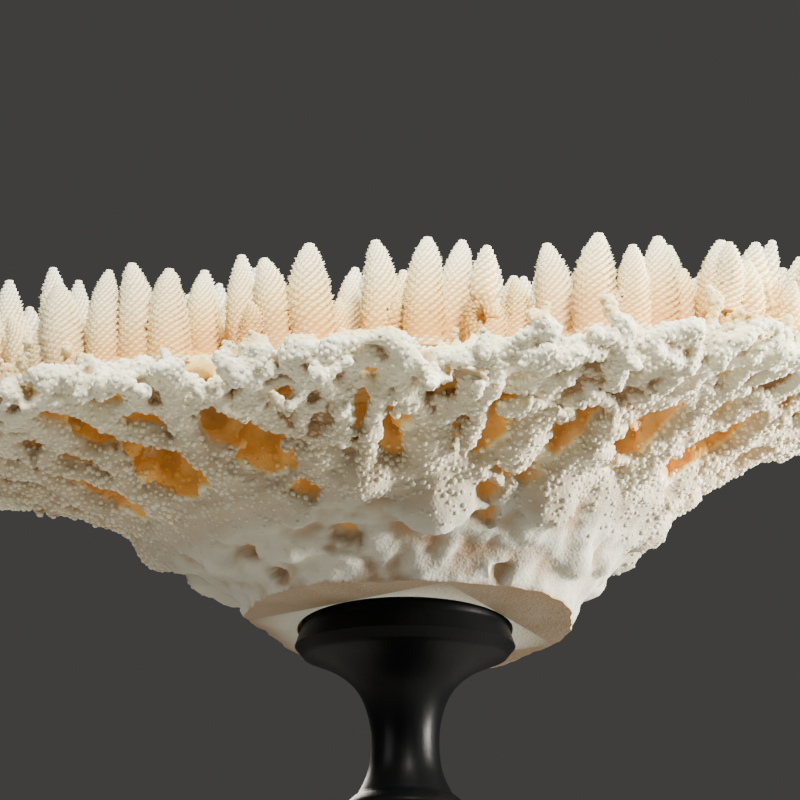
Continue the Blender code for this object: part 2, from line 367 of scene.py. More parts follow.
# Painted glow: the deep hollows give off orange light of their own.
glow_stops = [(0.0, (0, 0, 0)), (0.45, (0, 0, 0)), (1.0, (0.85, 0.41, 0.09))]
connect(shade.node("ValToRGB", {"stops": glow_stops}, {"Fac": tone}), shader, "Emission Color")
shader.inputs["Emission Strength"].default_value = 0.17
shader.inputs["Specular IOR Level"].default_value = 0.20
shader.inputs["Subsurface Weight"].default_value = 0.15
shader.inputs["Subsurface Radius"].default_value = (1.0, 0.72, 0.42)
shader.inputs["Subsurface Scale"].default_value = 0.0012


# Where the branchlets stand: the crowd in rows that follow the rim, the front ones as they stand in the
# photograph (root x, tip x, y, tip height, radius, in mm), and a tuft in rings over the foot.
ROW_SPACING = 0.0146
BORDER_MARGIN = 0.0066
ROW_RADIUS = 0.0047
FRONT_ARC = (-139.0, -41.0)
FRONT_DEPTH = 0.044
FRONT_CLEARANCE = 0.01
FOOT_ROWS = [(0.0, 1), (0.015, 6), (0.03, 12), (0.044, 17), (0.058, 22), (0.0715, 27)]
FRONT_BRANCHLETS = [
    (-86, -90.5, -101, 66.5, 5.6), (-77, -77, -105.5, 69, 4), (-69, -71.5, -105, 71, 4.8),
    (-60, -61, -109, 68, 5), (-52.5, -53.5, -96, 71.5, 4.5), (-40.5, -43, -106, 72, 4),
    (-32.5, -37, -106, 72, 4.8), (-22.5, -25, -109, 75, 5.6), (-14.5, -14.5, -89, 74, 4),
    (-6.5, -8, -105, 77.5, 5), (5, 5.7, -112, 75.5, 5), (11, 15, -101, 79, 4.6),
    (29, 29, -88, 74, 4), (39.5, 37, -100, 78.5, 5.2), (49, 50, -111, 77, 5.4),
    (57.5, 58.5, -112, 73.5, 4.3), (65, 66.5, -100, 80.5, 5.2), (70, 71, -87, 83, 4.3),
    (81.5, 83, -101, 79, 5), (92.5, 94.5, -88, 83.5, 5.2),
]


def grown(azimuth, radius, rng):
    """Root, tip and radius of one branchlet of the crowd, or None where the front ones stand."""
    radius += rng.uniform(-0.0016, 0.0016)
    thickness = ROW_RADIUS * rng.uniform(0.85, 1.05)
    growth = rng.uniform(0.92, 1.05)
    share = radius / rim_radius(azimuth)
    length = (0.034 - 0.004 * share**4) * growth
    root = spot(radius, azimuth, top_of_plate(radius, azimuth))
    outward = Vector((math.cos(math.radians(azimuth)), math.sin(math.radians(azimuth)), 0))
    tip = root + (UP + outward * 0.30 * share**3).normalized() * length
    at_front = FRONT_ARC[0] < azimuth < FRONT_ARC[1] or FRONT_ARC[0] + 360 < azimuth
    if at_front and rim_radius(azimuth) - radius < FRONT_DEPTH:
        return None
    return root, tip, thickness


def grown_rows(start, end, rng):
    middle = (start + end) / 2
    innermost = FOOT_RADIUS + ROW_RADIUS + 0.0032
    depth = 0.0105
    while rim_radius(middle) - depth > innermost:
        radius = rim_radius(middle) - depth
        margin = math.degrees(BORDER_MARGIN / radius)
        width = math.radians(end - start - 2 * margin) * radius
        count = max(2, round(width / ROW_SPACING) + 1)
        for i in range(count):
            azimuth = start + margin + (end - start - 2 * margin) * i / (count - 1)
            yield grown(azimuth, max(innermost, rim_radius(azimuth) - depth), rng)
        depth += ROW_SPACING


crowds = {}
rng = random.Random(11)
for limb, start, end in LIMBS:
    front = []
    for root_x, tip_x, y, tip_height, radius in map(metres, FRONT_BRANCHLETS):
        azimuth = azimuth_of(root_x, y)
        if in_sector(azimuth, start, end):
            root = Vector((root_x, y, CUT_Z + top_of_plate(math.hypot(root_x, y), azimuth)))
            front.append((root, Vector((tip_x, y, CUT_Z + tip_height)), radius))
    crowds[limb] = [
        one
        for one in grown_rows(start, end, rng)
        if one and all((one[0].xy - near[0].xy).length > FRONT_CLEARANCE for near in front)
    ] + front
rng = random.Random(12)
crowds["coral_foot"] = []
for radius, count in FOOT_ROWS:
    offset = rng.uniform(0, 360)
    crowds["coral_foot"] += [grown(offset + 360 * i / count - 180, radius, rng) for i in range(count)]


# Every upright branchlet is ringed with small cups that lean towards its tip, in staggered rows, so its
# outline is toothed. Some are forked or have a bud, and shorter ones fill the gaps between them. Cups
# are given as (distance from row to row, height of the lips). They are finer at the front.
CUPS = (0.00145, 0.001)
FINE_CUPS = (0.00115, 0.00115)
HOLED_CUPS = (0.00115, 0.0007)
LOW_CUP = 0.05
ROOT_DEPTH = 0.003
FRONT_LIMBS = ("limb_front", "limb_front_left", "limb_front_right")
MODEL_LENGTH = 0.036
MODEL_RADIUS = 0.0047
SHORT_LENGTH = 0.023
TAPER = [(0, 1.15), (0.12, 1.02), (0.42, 0.96), (0.6, 0.85), (0.76, 0.68), (0.9, 0.43), (1, 0.15)]
GAP_FILL = 0.0078
FILL_TRIES = 5
FRONT_FILL_TRIES = 14
FILL_MARGIN = 0.007
FRONT_ROW_Y = -0.1
# Where a side finger starts, its length, how far it leans and its thickness, as shares.
BRANCHING = {
    "forked": (0.22, 0.70, 0.15, 0.80),
    "budded": (0.50, 0.26, 0.70, 0.55),
    "low": (0.15, 0.40, 0.45, 0.70),
}


def eased(value):
    value = min(1.0, max(0.0, value))
    return value * value * (3 - 2 * value)


def cupped(bm, rng, route, columns, pitch, lip):
    """Adds a closed twig along a route of (point, radius), ringed with rows of cups.

    Its "groove" layer is 0 on the cups' lips and high between them, less so towards the tip; the material
    paints shade into the grooves by it.
    """
    steps = [(after - before).length for (before, _), (after, _) in zip(route, route[1:])]
    rows = max(3, round(sum(steps) / pitch))
    sides = 2 * columns
    rings = [(0.0, 0.0, 0.0)]
    for row in range(rows):
        rings += [(row / rows, 1.0, 0.0), ((row + 0.72) / rows, 1.0, 1.0)]
    rings += [(1.0, 0.8, 0.0), (1.0, 0.0, 0.0)]
    turn = (route[1][0] - route[0][0]).to_track_quat("Z", "X")
    frames = []
    for share, width, out in rings:
        along = share * sum(steps)
        i = 0
        while i < len(steps) - 1 and along > steps[i]:
            along -= steps[i]
            i += 1
        (before, thick), (after, thin) = route[i], route[i + 1]
        part = min(1.0, along / steps[i])
        turn = (turn @ UP).rotation_difference(after - before) @ turn
        radius = (thick + (thin - thick) * part) * width
        height = out * lip * (1.0 - 0.75 * share**6)
        frames.append((before.lerp(after, part), turn.copy(), radius, height, share))
    grid = bmesh.new()
    groove = grid.verts.layers.float.new("groove")
    bmesh.ops.create_grid(grid, x_segments=sides, y_segments=len(rings) - 1, size=0.5)
    grown_out = [[rng.uniform(0.55, 1.35) for _ in range(sides)] for _ in rings]
    for vert in grid.verts:
        i = round((vert.co.x + 0.5) * sides)
        j = round((vert.co.y + 0.5) * (len(rings) - 1))
        centre, turned, radius, height, share = frames[j]
        cup = 1.0 if (i + j // 2) % 2 else LOW_CUP
        reach = radius + height * cup * grown_out[j][i % sides]
        angle = math.tau * i / sides
        vert[groove] = (1.0 - 0.30 * share) * (1.0 - cup * (height > 0))
        place = Vector((math.cos(angle) * reach, math.sin(angle) * reach, height * cup * 0.3))
        vert.co = centre + turned @ place
    bmesh.ops.remove_doubles(grid, verts=grid.verts, dist=0.00001)
    mesh = bpy.data.meshes.new("twig")
    grid.to_mesh(mesh)
    grid.free()
    bm.from_mesh(mesh)
    bpy.data.meshes.remove(mesh)


def upright(rng, base, heading, length, radius):
    """The route of a finger that stands on its base, slightly bent and uneven."""
    bend = Vector((rng.uniform(-1, 1), rng.uniform(-1, 1), 0)) * 0.0012
    route = []
    for share, width in TAPER:
        place = base + heading * length * share + bend * math.sin(share * math.pi)
        route.append((place, radius * width * rng.uniform(0.95, 1.05)))
    return route


def branchlet_model(rng, kind, length, columns, cups=CUPS):
    """One finger that stands at the origin, alone, forked or with a bud, to be copied and stretched."""
    bm = bmesh.new()
    cupped(bm, rng, upright(rng, Vector(), UP, length, MODEL_RADIUS), columns, *cups)
    if kind:
        a = rng.uniform(0, math.tau)
        out = Vector((math.cos(a), math.sin(a), 0))
        start, part, lean, thick = BRANCHING[kind]
        root = UP * length * start + out * MODEL_RADIUS * 0.35
        side = upright(rng, root, (UP + out * lean).normalized(), length * part, MODEL_RADIUS * thick)
        cupped(bm, rng, side, round(columns * 0.7), *cups)
    mesh = bpy.data.meshes.new("branchlet")
    bm.to_mesh(mesh)
    bm.free()
    return mesh


rng = random.Random(31)
kinds = [None, "budded", None, "forked", None, "low", None, "budded", "forked", None, None, "low"]
tall_models = [branchlet_model(rng, kind, MODEL_LENGTH, 9) for kind in kinds]
fine_models = [branchlet_model(rng, kind, MODEL_LENGTH, 14, FINE_CUPS) for kind in kinds]
short_models = [branchlet_model(rng, None, SHORT_LENGTH, 7) for _ in range(6)]
fine_short_models = [branchlet_model(rng, None, SHORT_LENGTH, 11, FINE_CUPS) for _ in range(4)]


def tree_of(points):
    """A search tree of points as they lie seen from above."""
    tree = kdtree.KDTree(len(points))
    for i, point in enumerate(points):
        tree.insert(Vector((point.x, point.y, 0)), i)
    tree.balance()
    return tree


standing = tree_of([root for crowd in crowds.values() for root, _, _ in crowd])
filled = []
fillers = {limb: [] for limb in crowds}
rng = random.Random(41)
for limb, crowd in crowds.items():
    for root, tip, radius in crowd:
        for _ in range(FRONT_FILL_TRIES if limb in FRONT_LIMBS else FILL_TRIES):
            a = rng.uniform(0, math.tau)
            x = root.x + math.cos(a) * rng.uniform(0.008, 0.01)
            y = root.y + math.sin(a) * rng.uniform(0.008, 0.01)
            azimuth = azimuth_of(x, y)
            distance = math.hypot(x, y)
            if distance > rim_radius(azimuth) - FILL_MARGIN:
                continue
            if limb in FRONT_LIMBS and y < FRONT_ROW_Y:
                continue
            if standing.find(Vector((x, y, 0)))[2] < GAP_FILL:
                continue
            if any((x - other.x) ** 2 + (y - other.y) ** 2 < GAP_FILL**2 for other in filled):
                continue
            new_root = spot(distance, azimuth, top_of_plate(distance, azimuth))
            stem = (tip - root) * rng.uniform(0.45, 0.80)
            fillers[limb].append((new_root, new_root + stem, radius * rng.uniform(0.62, 0.85)))
            filled.append(new_root)

# One finger at the front forks low down and its halves grew together again, which left a hole. It is
# drawn as a ring, a stalk and a top, by points (x, z, radius) in mm, from the middle of the hole.
HOLE = Vector((0.0189, -0.119, CUT_Z + 0.0505))
hole_ring = [(2.9 * math.cos(a), 4 * math.sin(a), 1.6) for a in np.linspace(0, math.tau, 13)]
HOLED_STALK = [(-3, -15, 4.6), (-1.2, -9.5, 3.4), (-0.4, -6.2, 2.8), (0, -3.4, 0.8)]
HOLED_TOP = [
    (0, 3.4, 1), (0.2, 5.6, 2.8), (0.5, 9, 3.3), (1, 13, 2.8), (1.6, 17.5, 1.8), (1.8, 20, 0.7),
]
holed_finger = [
    [(HOLE + Vector((x, 0, z)), radius) for x, z, radius in map(metres, part)]
    for part in (hole_ring, HOLED_STALK, HOLED_TOP)
]


def stand(name, limb, groups, routes=()):
    """One piece with copies of the models, as groups of (branchlets, models, length of the models)."""
    rng = random.Random(name)
    grove = bmesh.new()
    for group, models, length in groups:
        for root, tip, radius in group:
            stem = tip - root
            copy = rng.choice(models).copy()
            width = radius / MODEL_RADIUS
            stretch = Matrix.Diagonal((width, width, (stem.length + ROOT_DEPTH) / length, 1))
            turn = stem.to_track_quat("Z", "Y").to_matrix().to_4x4()
            spin = Matrix.Rotation(rng.uniform(0, math.tau), 4, "Z")
            place = Matrix.Translation(root - stem.normalized() * ROOT_DEPTH)
            copy.transform(place @ turn @ spin @ stretch)
            grove.from_mesh(copy)
            bpy.data.meshes.remove(copy)
    for route in routes:
        cupped(grove, rng, route, 8, *HOLED_CUPS)
    piece = solid_piece(name, grove, skeleton)
    store_tint_and_glow(piece.data)
    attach(piece, "root")
    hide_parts(limb)


for limb, crowd in crowds.items():
    at_front = limb in FRONT_LIMBS
    tall = (crowd, fine_models if at_front else tall_models, MODEL_LENGTH)
    short = (fillers[limb], fine_short_models if at_front else short_models, SHORT_LENGTH)
    if limb == "coral_foot":
        stand("tuft_tall", limb, [tall])
        stand("tuft_short", limb, [short])
    else:
        stand("branchlets_" + limb, limb, [tall, short], holed_finger if limb == "limb_front" else ())


# Under the branchlets the colony is a net of fused twigs. Ribs run from the foot to the rim and fork on
# the way, posts rise from them to each branchlet, links tie neighbours, and short knobbly twigs end in
# the open. Each limb is drawn as tapering tubes that are fused into one skin, and set with small nubs.
VOXEL = 0.00112
STEMS_PER_LIMB = 2
NUB_SPACING = 0.00148
NUB_RADIUS = 0.00062
RIM_REACH = 0.0012
FIRST_FORK = 0.09
SECOND_FORK = 0.114
SEAT_THICK = 0.0046
ROOT_REACH = 0.0235
LINK_REACH = (0.0095, 0.019)
WEBS = [(0.0825, 0.0052), (0.091, 0.005), (0.0985, 0.0042), (0.105, 0.0042), (0.1115, 0.0036)]
FRONT_RIM_FROM = -127.0
FRONT_RIM_TO = -57.0
CAMERA_PLACE = Vector((-0.0015, -0.65, 0.0218))


def applied(piece):
    """The mesh that a piece has with its modifiers on."""
    graph = bpy.context.evaluated_depsgraph_get()
    return bpy.data.meshes.new_from_object(piece.evaluated_get(graph))


def tubes(name, routes, fatness=1.0):
    """A mesh of tapering tubes. A route is a list of (point, radius)."""
    curve = bpy.data.curves.new(name, "CURVE")
    curve.dimensions = "3D"
    curve.bevel_depth = fatness
    curve.bevel_resolution = 2
    curve.use_fill_caps = True
    for route in routes:
        spline = curve.splines.new("POLY")
        spline.points.add(len(route) - 1)
        for point, (centre, radius) in zip(spline.points, route):
            point.co = (*centre, 1.0)
            point.radius = radius
    drawn = bpy.data.objects.new(name, curve)
    assembled.objects.link(drawn)
    mesh = applied(drawn)
    bpy.data.objects.remove(drawn)
    return mesh


def relief(piece, kind, size, height):
    """Pushes the skin in and out by a procedural pattern of that size, as far as height."""
    pattern = bpy.data.textures.new(kind.lower() + " relief", kind)
    pattern.noise_scale = size
    displace = piece.modifiers.new(kind.lower(), "DISPLACE")
    displace.texture = pattern
    displace.texture_coords = "LOCAL"
    displace.strength = height


def fused(name, bm, voxel, rounding, reliefs):
    """One closed skin round everything in bm, smoothed and roughened, with its modifiers applied."""
    piece = solid_piece(name, bm, skeleton)
    remesh = piece.modifiers.new("skin", "REMESH")
    remesh.mode = "VOXEL"
    remesh.voxel_size = voxel
    smooth = piece.modifiers.new("rounding", "SMOOTH")
    smooth.factor = 0.5
    smooth.iterations = rounding
    for kind, size, height in reliefs:
        relief(piece, kind, size, height)
    mesh = applied(piece)
    piece.modifiers.clear()
    piece.data = mesh
    mesh.name = name
    mesh.shade_smooth()
    return piece


def nub_model():
    """One small domed nub, as worn cups look, to be set on a skin. Its foot is open, and its "sunk" layer
    paints shade round it.
    """
    bm = bmesh.new()
    sunk = bm.verts.layers.float.new("sunk")
    previous = None
    # Painted shade: the ring at the nub's foot gets a sunk value that darkens it.
    for width, height, depth in ((1.35, -0.25, 0.30), (0.92, 0.42, 0.0)):
        ring = bmesh.ops.create_circle(bm, segments=5, radius=NUB_RADIUS * width)["verts"]
        bmesh.ops.translate(bm, verts=ring, vec=(0, 0, NUB_RADIUS * height))
        for vert in ring:
            vert[sunk] = depth
        edges = list({edge for vert in ring for edge in vert.link_edges})
        if previous:
            bmesh.ops.bridge_loops(bm, edges=previous + edges)
        previous = edges
    top = bmesh.ops.holes_fill(bm, edges=previous)["faces"]
    bmesh.ops.poke(bm, faces=top, offset=NUB_RADIUS * 0.35)
    bmesh.ops.recalc_face_normals(bm, faces=bm.faces)
    return solid_piece("nub", bm, skeleton)


def scatter_of(nub):
    """A geometry node group that sets the nub all over a mesh, where its "nubs" attribute is high."""
    group = bpy.data.node_groups.new("nubs on a skin", "GeometryNodeTree")
    for end in ("INPUT", "OUTPUT"):
        group.interface.new_socket("Geometry", in_out=end, socket_type="NodeSocketGeometry")
    new = group.nodes.new
    skin = new("NodeGroupInput")
    result = new("NodeGroupOutput")
    wanted = new("GeometryNodeInputNamedAttribute")
    wanted.inputs["Name"].default_value = "nubs"
    points = new("GeometryNodeDistributePointsOnFaces")
    points.distribute_method = "POISSON"
    points.inputs["Distance Min"].default_value = NUB_SPACING
    points.inputs["Density Max"].default_value = 2.0 / NUB_SPACING**2
    model = new("GeometryNodeObjectInfo")
    model.inputs["Object"].default_value = nub
    size = new("FunctionNodeRandomValue")
    size.inputs[2].default_value = 0.50
    size.inputs[3].default_value = 1.45
    copies = new("GeometryNodeInstanceOnPoints")
    real = new("GeometryNodeRealizeInstances")
    for source, target in (
        (skin.outputs[0], points.inputs["Mesh"]),
        (wanted.outputs[0], points.inputs["Density Factor"]),
        (points.outputs["Points"], copies.inputs["Points"]),
        (points.outputs["Rotation"], copies.inputs["Rotation"]),
        (model.outputs["Geometry"], copies.inputs["Instance"]),
        (size.outputs[1], copies.inputs["Scale"]),
        (copies.outputs[0], real.inputs[0]),
        (real.outputs[0], result.inputs[0]),
    ):
        group.links.new(source, target)
    return group


nub = nub_model()
scatter = scatter_of(nub)


def nubs_on(name, skin, where):
    """A piece of its own with the nubs of a skin. Where they are wanted is a number for each vertex."""
    store(skin.data, "nubs", where)
    piece = bpy.data.objects.new(name, skin.data)
    assembled.objects.link(piece)
    setting = piece.modifiers.new("nubs", "NODES")
    setting.node_group = scatter
    mesh = applied(piece)
    piece.modifiers.clear()
    mesh.name = name
    mesh.materials.clear()
    mesh.materials.append(skeleton)
    mesh.shade_smooth()
    piece.data = mesh
    return piece


def knobbed(rng, root, heading, length, radius):
    """A short twig with a swollen, blunt end."""
    bend = Vector((rng.uniform(-1, 1), rng.uniform(-1, 1), rng.uniform(-0.3, 1))) * length * 0.20
    route = []
    for share, swell in ((0.0, 1.25), (0.3, 1.0), (0.6, 0.95), (0.85, 1.08), (1.0, 0.72)):
        place = root + heading * length * share + bend * share * share
        reach = rim_radius(azimuth_of(place.x, place.y)) + RIM_REACH
        place.xy *= min(1.0, reach / place.xy.length)
        route.append((place, radius * swell * rng.uniform(0.9, 1.12)))
    return route


def with_buds(rng, routes, chance):
    """The routes, and small buds that stand off them on all sides."""
    buds = []
    for route in routes:
        for (point, radius), (after, _) in zip(route[1:], route[2:]):
            if rng.random() < chance:
                along = (after - point).normalized()
                side = along.orthogonal().normalized()
                side.rotate(Matrix.Rotation(rng.uniform(0, math.tau), 3, along))
                side.z += 0.25
                heading = (side + along * rng.uniform(0.1, 0.9)).normalized()
                start = point.lerp(after, rng.random()) + side * radius * 0.5
                length, thick = rng.uniform(0.0026, 0.005), rng.uniform(0.0012, 0.0019)
                buds.append(knobbed(rng, start, heading, length, thick))
    return routes + buds


def rib_route(rng, azimuth, turns, from_radius, to_radius, thick, thin):
    """A rib along the underside. Each of its turns is (radius, degrees): it bends away after a fork."""
    route = []
    phase = rng.uniform(0, 6)
    steps = max(3, round((to_radius - from_radius) / 0.0042))
    for i in range(steps + 1):
        share = i / steps
        radius = from_radius + (to_radius - from_radius) * share
        at = azimuth + sum(angle * eased((radius - fork) / 0.02) for fork, angle in turns)
        at += 0.9 * math.sin(radius * 260 + phase)
        half = (thick + (thin - thick) * share) * rng.uniform(0.86, 1.14)
        lift = 0.0045 * eased((radius - rim_radius(at) + 0.008) / 0.01)
        height = underside(radius, at) + half * 0.92 + rng.uniform(0, 0.0014) + lift
        route.append((spot(radius, at, height), half))
    return route


def ribs_of(rng, start, end):
    """The forking ribs of one limb, as routes."""
    width = (end - start) / STEMS_PER_LIMB
    routes = []
    for i in range(STEMS_PER_LIMB):
        stem = start + width * (i + 0.5)
        fork = FIRST_FORK + rng.uniform(-0.004, 0.006)
        routes.append(rib_route(rng, stem, [], 0.074, fork, 0.0066, 0.0052))
        for side in (-1, 1):
            turn = (fork, side * width * 0.25)
            second = SECOND_FORK + rng.uniform(-0.008, 0.008)
            rim = rim_radius(stem) + rng.uniform(-0.003, 0.001)
            if (i + side) % 4 == 0:
                routes.append(rib_route(rng, stem, [turn], fork - 0.004, rim, 0.0046, 0.0034))
                continue
            routes.append(rib_route(rng, stem, [turn], fork - 0.004, second, 0.0046, 0.0038))
            for twig in (-1, 1):
                turns = [turn, (second, twig * width * 0.12)]
                end_radius = rim + rng.uniform(-0.004, 0.001)
                routes.append(rib_route(rng, stem, turns, second - 0.004, end_radius, 0.0036, 0.0028))
    return routes


def side_twigs(rng, ribs):
    """Knobbed twigs that leave the ribs sideways."""
    routes = []
    for rib in ribs:
        for point, radius in rib[1::2]:
            if rng.random() < 0.35:
                continue
            out = Vector((point.x, point.y, 0)).normalized()
            across = Vector((-out.y, out.x, 0)) * rng.choice((-1, 1))
            heading = out * rng.uniform(0.2, 1.2) + across + Vector((0, 0, rng.uniform(-0.15, 0.6)))
            length = rng.uniform(0.005, 0.0095)
            routes.append(knobbed(rng, point, heading.normalized(), length, radius * 0.58))
    return routes


rng = random.Random(21)
ribs = {limb: ribs_of(rng, start, end) for limb, start, end in LIMBS}
rib_points = [(point, radius) for limb in ribs for rib in ribs[limb] for point, radius in rib]
rib_tree = tree_of([point for point, radius in rib_points])
roots = [(root, limb) for limb in crowds for root, tip, radius in crowds[limb]]
root_tree = tree_of([root for root, limb in roots])


def net_of(rng, limb):
    """Posts from the ribs up to this limb's branchlets, and the links between their roots."""
    routes = []
    sunk = Vector((0, 0, 0.0015))
    for i, (root, owner) in enumerate(roots):
        if owner != limb:
            continue
        level = Vector((root.x, root.y, 0))
        seat = root - sunk
        if limb != "coral_foot":
            point, radius = rib_points[rib_tree.find(level)[1]]
            middle = (seat + point) / 2
            under = root - Vector((0, 0, 0.0022))
            routes.append([(point, radius * 0.9), (middle, 0.003), (under, 0.0057)])
        for _, index, distance in root_tree.find_n(level, 8)[1:]:
            if index > i and distance < ROOT_REACH:
                other = roots[index][0] - sunk
                middle = (seat + other) / 2 - Vector((0, 0, 0.001))
                thick = 0.0032 + rng.uniform(0, 0.0012)
                routes.append([(seat, SEAT_THICK), (middle, thick), (other, SEAT_THICK)])
    return routes


def webs_of(limb, start, end):
    """Wavy arcs that close the plate beside the foot, and further out where few branchlets stand."""
    routes = []
    for radius, thick in WEBS if limb in FRONT_LIMBS else WEBS[:2]:
        route = []
        for at in np.linspace(start, end, 12):
            wave = 0.0012 * math.sin(at * 0.7 + radius * 900)
            route.append((spot(radius, at, top_of_plate(radius, at) - 0.005 + wave), thick))
        routes.append(route)
    return routes


def links_of(rng, ribs):
    """Short links that tie a rib to the ribs beside it."""
    routes = []
    for rib in ribs:
        for point, radius in rib[1::3]:
            found = rib_tree.find_range(Vector((point.x, point.y, 0)), LINK_REACH[1])
            far = [rib_points[i] for _, i, distance in found if distance > LINK_REACH[0]]
            if far:
                other, other_radius = rng.choice(far)
                middle = (point + other) / 2 + Vector((0, 0, 0.0015))
                routes.append([(point, radius * 0.75), (middle, 0.0024), (other, other_radius * 0.75)])
    return routes


def rim_twigs(rng, start, end):
    """The rough open edge of the table: twigs that point outward, with upright buds."""
    routes = []
    azimuth = start + 2.2
    while azimuth < end - 1.5:
        if FRONT_RIM_FROM < azimuth < FRONT_RIM_TO or FRONT_RIM_FROM + 360 < azimuth:
            azimuth += 1.0
            continue
        rim = rim_radius(azimuth)
        root = spot(rim - 0.0125, azimuth, rim_height(azimuth) + rng.choice((0.003, 0.0062, 0.0085)))
        a = math.radians(azimuth + rng.uniform(-38, 38))
        heading = Vector((math.cos(a), math.sin(a), rng.uniform(-0.05, 0.40))).normalized()
        length = rng.uniform(0.007, 0.01)
        radius = rng.uniform(0.002, 0.0029)
        routes.append(knobbed(rng, root, heading, length, radius))
        if rng.random() < 0.7:
            bud = root + heading * length * rng.uniform(0.35, 0.8)
            rise = (heading * 0.25 + UP).normalized()
            routes.append(knobbed(rng, bud, rise, rng.uniform(0.005, 0.01), radius * 0.85))
        azimuth += rng.uniform(2.0, 3.2)
    return routes


# The pieces of the front rim that stand out in the photograph, each as its radius and its points
# (x, y, height) in mm, from the left knob to the right. The last four lead inwards.
FRONT_RIM = [
    (4, (-81, -113, 33), (-85, -119, 35), (-90, -121, 34)),
    (3.6, (-79, -114, 35), (-74, -120, 33), (-70, -123, 33)),
    (3.2, (-54, -117, 34), (-58, -123, 34.5), (-60.5, -125, 35)),
    (2.9, (-39, -119, 25), (-44, -124, 26.5), (-49.5, -125.5, 29.5)),
    (4, (-38, -112, 30), (-40, -119, 37), (-44, -123, 36)),
    (3.4, (-40, -120, 38.5), (-36.5, -123, 41)),
    (3.3, (-35.5, -119, 38), (-26.2, -121.5, 40.5), (-15.2, -120, 40.5)),
    (2, (-26.2, -121.5, 40), (-26, -125.5, 38.5)),
    (2.2, (-20, -120.5, 37), (-19.6, -124.5, 35)),
    (3.8, (-15.2, -118, 39.5), (-15.8, -115, 29), (-16.5, -108, 23)),
    (2.2, (-26.5, -113, 23), (-26.2, -119, 27.5), (-25.8, -120, 30)),
    (3.6, (-14, -119, 37.5), (-9, -123, 41.5), (-4.2, -123.5, 44)),
    (3.8, (-4.5, -122.5, 42), (1, -123, 38), (6, -121, 35.5)),
    (2.1, (3, -119, 40), (8.5, -121.5, 41.5), (14.5, -122, 42)),
    (4, (12.5, -117, 42), (16, -121, 39), (18.5, -120, 35)),
    (4.6, (17.8, -113, 46), (23.2, -120, 42.5), (32, -122.5, 39.5)),
    (4, (32, -122.5, 39.5), (39.5, -122.5, 39.5), (45, -120.5, 41.5)),
    (2.6, (45, -120.5, 41), (49, -118.5, 43)),
    (3, (23.5, -115, 27.5), (30.5, -121, 29), (36.8, -120, 27)),
    (2.8, (40.5, -116, 30), (46.5, -121, 31), (51.5, -120, 27.5)),
    (2.4, (51.5, -120, 27.5), (49.5, -119, 23)),
    (3.4, (52, -115, 34), (55, -118, 40.5), (61.2, -116, 45)),
    (3.4, (61.2, -116, 45), (65.5, -117, 41), (71.5, -115, 41)),
    (3.6, (58.5, -112, 32), (64.5, -117, 35), (70, -116.5, 39)),
    (3, (-5.5, -118.5, 37.4), (-6.5, -112, 31.6), (-8.5, -105, 27.1)),
    (3.3, (-8.5, -105, 27.1), (-9.7, -96, 22.6), (-11, -88, 19)),
    (2.1, (-2.5, -108, 29), (0, -114, 31), (-0.5, -116, 33.5)),
    (3, (23.4, -121, 36), (18.6, -113, 29.9), (16.3, -104, 23.4)),
]


def laid_on(x, y, height):
    """A place of the front rim, moved back along the line of sight until it isn't under the table."""
    point = Vector((x, y, CUT_Z + height))
    step = (point - CAMERA_PLACE).normalized() * 0.0005
    while point.z - CUT_Z < underside(point.xy.length, azimuth_of(point.x, point.y)) + 0.001:
        point += step
    return point


def front_rim_of(rng, start, end):
    """The pieces of the front rim that belong to one limb, and the back of the finger's hole."""
    routes = []
    if in_sector(azimuth_of(HOLE.x, HOLE.y), start, end):
        back = [HOLE + Vector((0, 0.0042, 0.003)), HOLE + Vector((0, 0.0042, -0.006))]
        routes.append([(point, 0.0036) for point in back])
    for thick, *places in FRONT_RIM:
        radius = thick / 1000
        if in_sector(azimuth_of(*places[0][:2]), start, end):
            points = [laid_on(*metres(place)) for place in places]
            points.append(points[-1] + (points[-1] - points[-2]).normalized() * radius * 0.7)
            route = []
            for point, after in zip(points, points[1:]):
                for share in (0.0, 0.35, 0.70):
                    wobble = Vector([rng.uniform(-1, 1) for _ in range(3)]) * 0.0007
                    route.append((point.lerp(after, share) + wobble, radius * rng.uniform(0.66, 1.02)))
            routes.append(route + [(points[-1], radius * 0.55)])
    return routes


